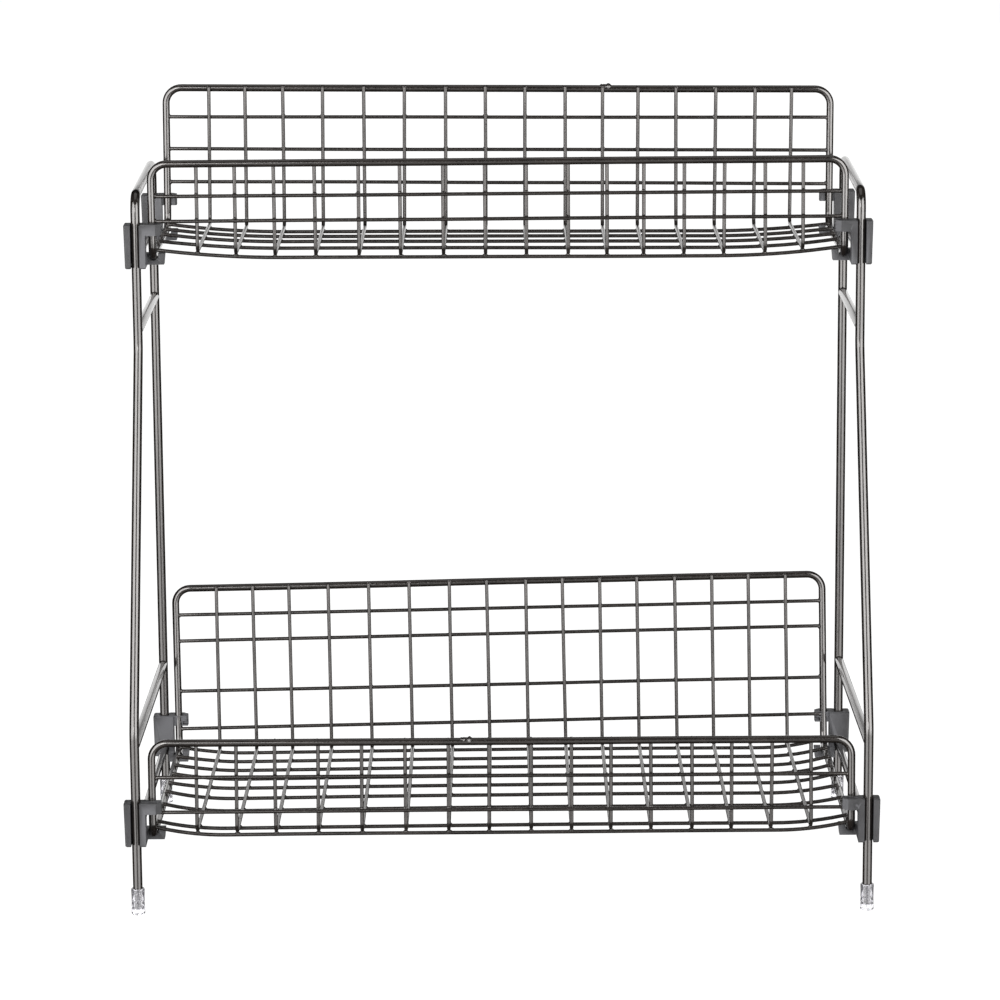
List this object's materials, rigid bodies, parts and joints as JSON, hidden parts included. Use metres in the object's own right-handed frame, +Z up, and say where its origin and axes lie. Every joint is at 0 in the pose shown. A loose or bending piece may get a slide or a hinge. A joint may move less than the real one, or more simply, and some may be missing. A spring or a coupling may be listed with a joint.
{
  "type": "tiered wire basket",
  "caption": "Free-standing wire rack with open wire-mesh baskets, one above the other, clipped to a stepped wire side frame at each end, with clear foot caps",
  "frame": {"origin": "centre of the bounding box in x and y, on the plane that the four feet stand on", "axes": "+X is the rack's right seen from the front, along the baskets' length; +Y points to the back, so the low front walls face -Y; +Z is up"},
  "size_m": [0.3964, 0.2224, 0.4129],
  "materials": {
    "coated_wire": "dark bronze-grey lacquer on steel wire, satin, with long pale streaks of light",
    "clip_plastic": "dark grey moulded plastic, fine matte grain",
    "foot_vinyl": "clear, slightly milky soft vinyl, glossy"
  },
  "bodies": {
    "frame": {"left_frame_wire": "coated_wire", "left_lower_brace": "coated_wire", "left_upper_brace": "coated_wire", "left_upper_rail": "coated_wire", "left_lower_rail": "coated_wire", "left_front_foot": "foot_vinyl", "left_rear_foot": "foot_vinyl", "right_frame_wire": "coated_wire", "right_lower_brace": "coated_wire", "right_upper_brace": "coated_wire", "right_upper_rail": "coated_wire", "right_lower_rail": "coated_wire", "right_front_foot": "foot_vinyl", "right_rear_foot": "foot_vinyl"},
    "upper_basket": {"upper_basket_rim": "coated_wire", "upper_cross_wires": "coated_wire", "upper_front_wires": "coated_wire", "upper_floor_wires": "coated_wire", "upper_back_wires": "coated_wire", "left_upper_front_clip": "clip_plastic", "left_upper_rear_clip": "clip_plastic", "right_upper_front_clip": "clip_plastic", "right_upper_rear_clip": "clip_plastic"},
    "lower_basket": {"lower_basket_rim": "coated_wire", "lower_cross_wires": "coated_wire", "lower_front_wires": "coated_wire", "lower_floor_wires": "coated_wire", "lower_back_wires": "coated_wire", "left_lower_front_clip": "clip_plastic", "left_lower_rear_clip": "clip_plastic", "right_lower_front_clip": "clip_plastic", "right_lower_rear_clip": "clip_plastic"}
  },
  "joints": [
    {"name": "upper_basket_lift", "type": "slide", "parent": "frame", "child": "upper_basket", "axis": [0, 0, 1], "range_m": [0, 0.005]},
    {"name": "lower_basket_lift", "type": "slide", "parent": "frame", "child": "lower_basket", "axis": [0, 0, 1], "range_m": [0, 0.026]}
  ]
}
